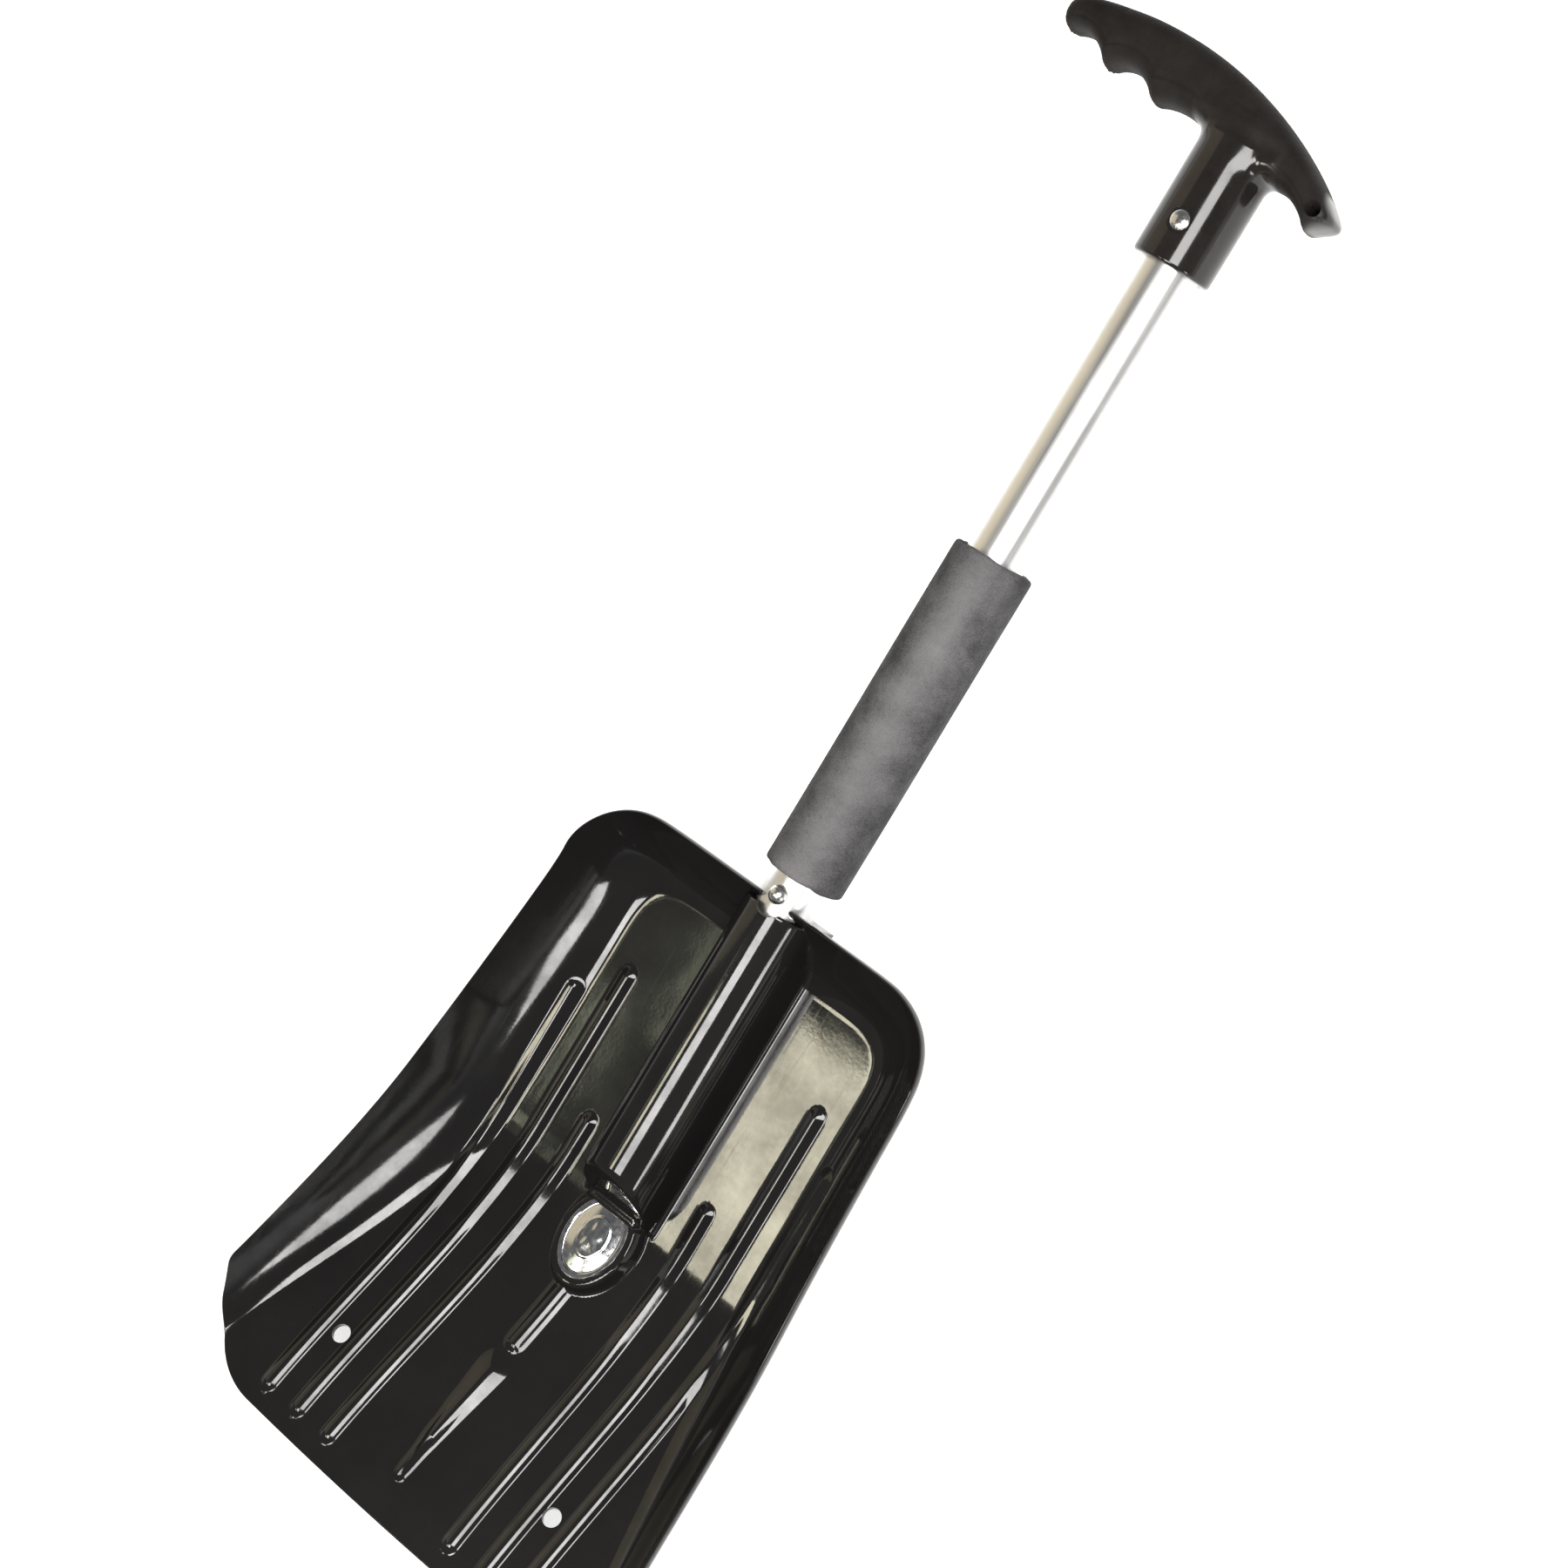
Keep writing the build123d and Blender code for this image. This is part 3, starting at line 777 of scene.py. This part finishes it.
def rough_grip():
    """Overlapping rough solids of the crossbar and the stem, for remeshing."""
    stations = np.linspace(GRIP_LEFT_X + 0.4 * MM, GRIP_RIGHT_X - 0.4 * MM, 90)
    segments = 32
    points = []
    faces = []
    for x in stations:
        top = crown_y(x)
        bottom = underside_y(np.array([x]))[0]
        along = abs((x - GRIP_MIDDLE_X) / GRIP_HALF_SPAN)
        shrink = (1 - along**GRIP_END_POWER) ** (1 / GRIP_POWER)
        for k in range(segments):
            angle = 2 * math.pi * k / segments
            y = (top + bottom) / 2 + (top - bottom) / 2 * shrink * math.sin(angle)
            points.append((x, y, GRIP_HALF_DEPTH * shrink * math.cos(angle)))
    for i in range(len(stations) - 1):
        for k in range(segments):
            after = (k + 1) % segments
            low = i * segments
            faces.append((low + k, low + after, low + segments + after, low + segments + k))
    faces.append(tuple(range(segments))[::-1])
    faces.append(tuple(range(len(points) - segments, len(points))))
    side = [(0, STEM_BOTTOM_Y), (STEM_R, STEM_BOTTOM_Y), (STEM_R, STEM_TOP_Y), (0, STEM_TOP_Y)]
    stem, stem_faces = revolve(side, 96, False)
    start = len(points)
    faces += [tuple(i + start for i in face) for face in stem_faces]
    return np.concatenate([points, placed(stem, ALONG_SHAFT)]), faces


def make_grip(material):
    """The T-grip: a rough solid, remeshed and settled onto its exact surface, then drilled."""
    points, faces = rough_grip()
    grip = make_piece("grip_body", points, faces, "handle", ("t_grip",))
    remesh = grip.modifiers.new("remesh", "REMESH")
    remesh.mode = "VOXEL"
    remesh.voxel_size = 0.75 * MM
    smooth = grip.modifiers.new("smooth", "SMOOTH")
    smooth.factor = 0.5
    smooth.iterations = 4
    bake_modifiers(grip)
    mesh = grip.data
    flat = np.empty(len(mesh.vertices) * 3)
    mesh.vertices.foreach_get("co", flat)
    origin = np.array(ORIGIN)
    settled = settle(flat.reshape(-1, 3) - origin, grip_field) + origin
    mesh.vertices.foreach_set("co", settled.ravel())
    mesh.update()
    bore_top = STEM_TOP_Y - 4 * MM
    rivet = Matrix.Translation((0, RIVET_Y, 0))
    lanyard = Matrix.Translation((LANYARD_X, LANYARD_Y, 0))
    spot_r = (WASHER_HIGH.x - WASHER_LOW.x) / 2 + 0.3 * MM
    cutters = [
        cylinder_cutter(ALONG_SHAFT, TUBE_R + 0.05 * MM, STEM_BOTTOM_Y - 5 * MM, bore_top, 128),
        cylinder_cutter(lanyard, LANYARD_R, -30 * MM, 30 * MM, 48),
        countersink_cutter(lanyard, 1),
        countersink_cutter(lanyard, -1),
        cylinder_cutter(rivet, RIVET_SHANK_R + 0.1 * MM, -30 * MM, 30 * MM, 48),
        cylinder_cutter(rivet, spot_r, RIVET_SPOT_Z, 25 * MM, 48),
        cylinder_cutter(rivet, spot_r, -25 * MM, -RIVET_SPOT_Z, 48),
    ]
    cut(grip, cutters)
    shade_smooth(grip, math.radians(55))
    dress(grip, material)


# ---- fasteners ----


def dome_profile(radius, low, high):
    """Half of a low round head, from its rim to its top."""
    height = high - low
    ball_r = (radius**2 + height**2) / (2 * height)
    opening = math.asin(min(1.0, radius / ball_r))
    profile = []
    for k in range(11):
        angle = opening * (1 - k / 10)
        profile.append((ball_r * math.sin(angle), high - ball_r * (1 - math.cos(angle))))
    return profile


def make_rivet(material):
    """A round-headed rivet through the stem, with its tail spread on the back."""
    low = RIVET_LOW.z - ORIGIN.z
    high = RIVET_HIGH.z - ORIGIN.z
    head_r = (RIVET_HIGH.x - RIVET_LOW.x) / 2
    front = dome_profile(head_r, RIVET_SPOT_Z + 0.35 * MM, high)
    front[-1] = (0.0, high)
    tail_r = head_r - 0.4 * MM
    tail_z = -RIVET_SPOT_Z - 0.6 * MM
    back = [(r, -z) for r, z in dome_profile(tail_r, RIVET_SPOT_Z + 0.75 * MM, -low)][::-1]
    back[0] = (0.0, low)
    shank = [
        (tail_r, tail_z),
        (RIVET_SHANK_R, tail_z),
        (RIVET_SHANK_R, RIVET_SPOT_Z),
        (head_r, RIVET_SPOT_Z),
    ]
    points, faces = revolve(back + shank + front, 64, False)
    points = points + np.array([0, RIVET_Y, 0])
    rivet = make_piece("rivet_body", points, faces, "handle", ("grip_rivet",))
    shade_smooth(rivet)
    dress(rivet, material)


def make_washer(material):
    """The burr under the rivet's tail."""
    low = WASHER_LOW.z - ORIGIN.z
    high = WASHER_HIGH.z - ORIGIN.z
    outer = (WASHER_HIGH.x - WASHER_LOW.x) / 2
    inner = RIVET_SHANK_R + 0.05 * MM
    corners = [(inner, low), (outer, low), (outer, high), (inner, high)]
    points, faces = revolve(round_corners(corners, 0.2 * MM, 3, True), 64, True)
    points = points + np.array([0, RIVET_Y, 0])
    washer = make_piece("washer_ring", points, faces, "handle", ("rivet_washer",))
    shade_smooth(washer)
    dress(washer, material)


def make_button(material):
    """The snap button: a domed pin on a flange inside the tube."""
    low = BUTTON_LOW.z - ORIGIN.z
    high = BUTTON_HIGH.z - ORIGIN.z
    flange_r = (BUTTON_HIGH.x - BUTTON_LOW.x) / 2
    pin_r = flange_r - 1.2 * MM
    flange_top = low + 1.0 * MM
    corners = [(0, low), (flange_r, low), (flange_r, flange_top), (pin_r, flange_top)]
    flange = round_corners(corners, 0.25 * MM, 3)
    top = dome_profile(pin_r, high - 2.6 * MM, high)
    top[-1] = (0.0, high)
    points, faces = revolve(flange + top, 72, False)
    points = points + np.array([0, BUTTON_Y, 0])
    button = make_piece("button_pin", points, faces, "button", ("lock_button",))
    shade_smooth(button)
    dress(button, material)


# ---- materials ----


class Nodes:
    """A material's node tree, with short calls for the nodes used here."""

    def __init__(self, name):
        self.material = bpy.data.materials.new(name)
        self.material.use_nodes = True
        self.tree = self.material.node_tree
        self.shader = self.tree.nodes["Principled BSDF"]
        self.place = self.add("ShaderNodeTexCoord").outputs["Object"]

    def add(self, kind, **values):
        node = self.tree.nodes.new(kind)
        for key, value in values.items():
            setattr(node, key, value)
        return node

    def link(self, source, target):
        self.tree.links.new(source, target)

    def stretched(self, scale, turn=(0, 0, 0)):
        node = self.add("ShaderNodeMapping")
        self.link(self.place, node.inputs["Vector"])
        node.inputs["Scale"].default_value = scale
        node.inputs["Rotation"].default_value = turn
        return node.outputs["Vector"]

    def noise(self, scale, detail=2.0, roughness=0.5, vector=None):
        node = self.add("ShaderNodeTexNoise")
        self.link(vector or self.place, node.inputs["Vector"])
        node.inputs["Scale"].default_value = scale
        node.inputs["Detail"].default_value = detail
        node.inputs["Roughness"].default_value = roughness
        return node.outputs["Fac"]

    def cells(self, scale):
        node = self.add("ShaderNodeTexVoronoi")
        self.link(self.place, node.inputs["Vector"])
        node.inputs["Scale"].default_value = scale
        return node.outputs["Distance"]

    def ranged(self, value, low, high, to_low, to_high):
        node = self.add("ShaderNodeMapRange", clamp=True)
        self.link(value, node.inputs["Value"])
        node.inputs["From Min"].default_value = low
        node.inputs["From Max"].default_value = high
        node.inputs["To Min"].default_value = to_low
        node.inputs["To Max"].default_value = to_high
        return node.outputs["Result"]

    def math(self, operation, a, b=0.0):
        node = self.add("ShaderNodeMath", operation=operation)
        for socket, value in zip(node.inputs, (a, b)):
            if isinstance(value, (int, float)):
                socket.default_value = value
            else:
                self.link(value, socket)
        return node.outputs["Value"]

    def axis(self, name):
        node = self.add("ShaderNodeSeparateXYZ")
        self.link(self.place, node.inputs["Vector"])
        return node.outputs[name]

    def ramp(self, value, stops):
        node = self.add("ShaderNodeValToRGB")
        self.link(value, node.inputs["Fac"])
        elements = node.color_ramp.elements
        elements[0].position, elements[0].color = stops[0][0], (*stops[0][1], 1)
        elements[1].position, elements[1].color = stops[-1][0], (*stops[-1][1], 1)
        for position, colour in stops[1:-1]:
            elements.new(position).color = (*colour, 1)
        return node.outputs["Color"]

    def bump(self, height, strength, distance, normal=None):
        node = self.add("ShaderNodeBump")
        self.link(height, node.inputs["Height"])
        node.inputs["Strength"].default_value = strength
        node.inputs["Distance"].default_value = distance
        if normal:
            self.link(normal, node.inputs["Normal"])
        return node.outputs["Normal"]

    def set(self, socket, value):
        if isinstance(value, (int, float, tuple)):
            self.shader.inputs[socket].default_value = value
        else:
            self.link(value, self.shader.inputs[socket])


def gloss_black():
    """Moulded glossy polypropylene: near black, faint flow marks, orange peel and handling scratches."""
    n = Nodes("gloss_black_plastic")
    tone = n.noise(9, 4, 0.6)
    n.set("Base Color", n.ramp(tone, [(0.3, (0.0075, 0.007, 0.0072)), (0.7, (0.0115, 0.0108, 0.0105))]))
    smear = n.noise(26, 5, 0.65)
    scratch = n.noise(900, 2, 0.5, n.stretched((1, 0.02, 1), (0, 0, 0.35)))
    fine = n.ranged(scratch, 0.60, 0.72, 0.0, 0.05)
    n.set("Roughness", n.math("ADD", n.ranged(smear, 0.35, 0.75, 0.05, 0.11), fine))
    n.set("IOR", 1.5)
    n.set("Specular IOR Level", n.ranged(n.noise(34, 5, 0.7), 0.36, 0.66, 0.36, 0.6))
    flow = n.bump(n.noise(38, 2, 0.4), 0.10, 0.0008)
    n.set("Normal", n.bump(n.noise(620, 2, 0.5), 0.05, 0.00012, flow))
    return n.material


def grip_black():
    """The grip's moulding: fine grain on the crossbar, polished on the stem and the short arm's tip."""
    n = Nodes("grip_black_plastic")
    tone = n.noise(60, 5, 0.7)
    n.set("Base Color", n.ramp(tone, [(0.3, (0.010, 0.0085, 0.008)), (0.7, (0.019, 0.016, 0.0145))]))
    above = n.ranged(n.axis("Y"), ORIGIN.y + 0.342, ORIGIN.y + 0.350, 0.0, 1.0)
    aside = n.ranged(n.math("ABSOLUTE", n.axis("X")), 0.018, 0.023, 0.0, 1.0)
    tip = n.add("ShaderNodeVectorMath", operation="DISTANCE")
    n.link(n.place, tip.inputs[0])
    tip.inputs[1].default_value = ORIGIN + Vector((GRIP_RIGHT_X, LANYARD_Y, 0))
    away = n.ranged(tip.outputs["Value"], 0.010, 0.014, 0.0, 1.0)
    grained = n.math("MINIMUM", n.math("MAXIMUM", above, aside), away)
    grain = n.noise(1400, 3, 0.6)
    matte = n.ranged(grain, 0.3, 0.7, 0.6, 0.78)
    polish = n.ranged(n.noise(70, 4, 0.6), 0.3, 0.7, 0.08, 0.16)
    matte = n.math("MULTIPLY", matte, grained)
    polish = n.math("MULTIPLY", polish, n.math("SUBTRACT", 1.0, grained))
    n.set("Roughness", n.math("ADD", matte, polish))
    n.set("IOR", 1.5)
    n.set("Specular IOR Level", n.math("SUBTRACT", 0.42, n.math("MULTIPLY", grained, 0.3)))
    texture = n.bump(n.math("MULTIPLY", grain, grained), 0.22, 0.00025)
    n.set("Normal", n.bump(n.noise(240, 2, 0.5), 0.04, 0.0003, texture))
    return n.material


def foam_grey():
    """Closed-cell foam: a matte skin of small cells, patchy, with a painted lit band along the top and
    painted shade making it darker down the sides.
    """
    n = Nodes("foam_grey")
    patches = n.noise(55, 6, 0.7)
    speck = n.noise(1600, 2, 0.6)
    tone = n.math("ADD", n.math("MULTIPLY", patches, 0.6), n.math("MULTIPLY", speck, 0.4))
    # Painted light and shade: the colour is lightest along a line a little off the top, towards the
    # camera's side, and painted shade darkens it down both sides.
    from_painted_lit_band = n.math("ABSOLUTE", n.math("SUBTRACT", n.axis("X"), 0.22 * FOAM_R))
    side = n.ranged(from_painted_lit_band, 0.12 * FOAM_R, 0.8 * FOAM_R, 0.0, 0.3)
    tone = n.math("SUBTRACT", tone, side)
    stops = [(0.15, (0.028, 0.028, 0.030)), (0.46, (0.125, 0.120, 0.125)), (0.7, (0.18, 0.173, 0.18))]
    n.set("Base Color", n.ramp(tone, stops))
    n.set("Roughness", n.ranged(speck, 0.3, 0.7, 0.7, 0.85))
    n.set("Specular IOR Level", 0.2)
    cells = n.bump(n.cells(1500), 0.55, 0.00035)
    n.set("Normal", n.bump(n.noise(500, 4, 0.7), 0.3, 0.0004, cells))
    return n.material


def polished_aluminium():
    """Drawn aluminium tube: bright, with fine lines along it and a few handling marks."""
    n = Nodes("polished_aluminium")
    drawn = n.noise(520, 3, 0.6, n.stretched((1, 0.012, 1)))
    cloud = n.noise(24, 4, 0.6)
    n.set("Base Color", n.ramp(cloud, [(0.3, (0.86, 0.86, 0.85)), (0.7, (0.93, 0.93, 0.92))]))
    n.set("Metallic", 1.0)
    lines = n.ranged(drawn, 0.3, 0.7, 0.28, 0.40)
    marks = n.ranged(cloud, 0.55, 0.8, 0.0, 0.06)
    n.set("Roughness", n.math("ADD", lines, marks))
    n.set("Normal", n.bump(drawn, 0.10, 0.00006))
    return n.material


def nickel_steel():
    """Rivet, washer, button and spring: nickel-plated steel with fine wear."""
    n = Nodes("nickel_steel")
    wear = n.noise(700, 4, 0.6)
    n.set("Base Color", n.ramp(wear, [(0.3, (0.60, 0.60, 0.60)), (0.7, (0.78, 0.78, 0.77))]))
    n.set("Metallic", 1.0)
    n.set("Roughness", n.ranged(wear, 0.3, 0.7, 0.16, 0.32))
    n.set("Normal", n.bump(n.noise(1800, 2, 0.5), 0.12, 0.00008))
    return n.material


def badge_chrome():
    """The medallion: bright chrome with a faint haze."""
    n = Nodes("badge_chrome")
    haze = n.noise(420, 4, 0.6)
    n.set("Base Color", n.ramp(haze, [(0.3, (0.60, 0.61, 0.63)), (0.7, (0.76, 0.77, 0.79))]))
    n.set("Metallic", 1.0)
    n.set("Roughness", n.ranged(haze, 0.3, 0.7, 0.08, 0.2))
    n.set("Normal", n.bump(n.noise(1500, 2, 0.5), 0.06, 0.00005))
    return n.material


# ---- surroundings ----


def add_floor():
    """A plain pale floor that the shovel lies on."""
    half = 6.0
    corners = [(-half, -half, 0), (half, -half, 0), (half, half, 0), (-half, half, 0)]
    mesh = bpy.data.meshes.new("floor")
    mesh.from_pydata(corners, [], [(0, 1, 2, 3)])
    floor = bpy.data.objects.new("floor", mesh)
    bpy.context.scene.collection.objects.link(floor)
    n = Nodes("pale_floor")
    tone = n.noise(3, 3, 0.5)
    n.set("Base Color", n.ramp(tone, [(0.3, (0.80, 0.80, 0.80)), (0.7, (0.84, 0.84, 0.84))]))
    n.set("Roughness", 0.9)
    n.set("Specular IOR Level", 0.0)
    n.set("Emission Color", (1.0, 1.0, 1.0, 1.0))
    n.set("Emission Strength", 0.62)
    mesh.materials.append(n.material)


def add_panel(name, centre, size, radiance, colour, aim=None):
    """A flat soft light that faces the aim point, of a given brightness per area."""
    data = bpy.data.lights.new(name, "AREA")
    data.shape = "RECTANGLE"
    data.size, data.size_y = size
    data.energy = radiance * math.pi * size[0] * size[1]
    data.color = colour
    light = bpy.data.objects.new(name, data)
    bpy.context.scene.collection.objects.link(light)
    centre = Vector(centre)
    facing = Vector((0, 0, 1)) if aim is None else (centre - Vector(aim)).normalized()
    across = Vector((1, 0, 0)) - facing * facing.x
    across.normalize()
    up = facing.cross(across)
    matrix = Matrix((across, up, facing)).transposed().to_4x4()
    matrix.translation = centre + ORIGIN
    light.matrix_world = matrix


def add_lights():
    white = (1.0, 0.99, 0.97)
    olive = (0.9, 0.95, 0.68)
    add_panel("panel_warm", (-0.349, -0.4025, 1.03), (0.138, 0.235), 14, (1.0, 0.945, 0.72))
    add_panel("panel_dim", (-0.535, -0.38, 1.06), (0.12, 0.24), 0.28, olive)
    add_panel("panel_dim_near", (-0.50, -0.31, 1.03), (0.025, 0.11), 2.4, olive)
    add_panel("panel_dim_far", (-0.56, -0.41, 1.03), (0.03, 0.12), 3.2, olive)
    add_panel("softbox_blade", (0.085, -0.305, 1.03), (0.38, 0.33), 16, white)
    add_panel("softbox_handle", (0.475, 0.215, 1.03), (0.55, 0.55), 16, white)
    add_panel("softbox_side", (1.0, -0.325, 0.40), (0.17, 0.27), 14, white, aim=(0, -0.07, 0))
    add_panel("bounce_left", (-1.1, 0.2, 0.62), (1.0, 1.0), 0.6, (1.0, 0.84, 0.54), aim=(0, 0.15, 0))


def add_world():
    """Dim surroundings overhead, pale towards the horizon."""
    world = bpy.data.worlds.new("studio")
    bpy.context.scene.world = world
    world.use_nodes = True
    tree = world.node_tree
    background = tree.nodes["Background"]
    place = tree.nodes.new("ShaderNodeTexCoord")
    split = tree.nodes.new("ShaderNodeSeparateXYZ")
    ramp = tree.nodes.new("ShaderNodeValToRGB")
    tree.links.new(place.outputs["Generated"], split.inputs["Vector"])
    tree.links.new(split.outputs["Z"], ramp.inputs["Fac"])
    tree.links.new(ramp.outputs["Color"], background.inputs["Color"])
    elements = ramp.color_ramp.elements
    elements[0].position, elements[0].color = 0.10, (0.9, 0.9, 0.9, 1)
    elements[1].position, elements[1].color = 0.22, (0.17, 0.17, 0.17, 1)
    elements.new(1.0).color = (0.12, 0.12, 0.12, 1)


def add_camera():
    """Looks down on the hollow face, from the right and a little from the grip's end."""
    yaw = math.radians(25)
    pitch = math.radians(8.2)
    roll = math.radians(30.9)
    distance = 1.1498
    aim = Vector((-0.0258, 0.0393, 0.0058))
    right = Vector((math.cos(yaw), 0, -math.sin(yaw)))
    back = Vector((math.sin(yaw) * math.cos(pitch), math.sin(pitch), math.cos(yaw) * math.cos(pitch)))
    up = back.cross(right)
    camera_right = math.sin(roll) * up + math.cos(roll) * right
    camera_up = math.cos(roll) * up - math.sin(roll) * right
    matrix = Matrix((camera_right, camera_up, back)).transposed().to_4x4()
    matrix.translation = ORIGIN + aim + back * distance
    data = bpy.data.cameras.new("camera")
    data.sensor_width = 36
    data.lens = 66
    camera = bpy.data.objects.new("camera", data)
    bpy.context.scene.collection.objects.link(camera)
    camera.matrix_world = matrix
    bpy.context.scene.camera = camera


# ---- the scene ----

add_camera()
add_floor()
add_world()
add_lights()
bpy.context.scene.view_settings.view_transform = "Standard"

steel = nickel_steel()
make_blade(gloss_black())
make_badge(badge_chrome())
make_tube(polished_aluminium())
make_foam(foam_grey())
make_grip(grip_black())
make_rivet(steel)
make_washer(steel)
make_button(steel)

dress(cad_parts["lock_spring"], steel)
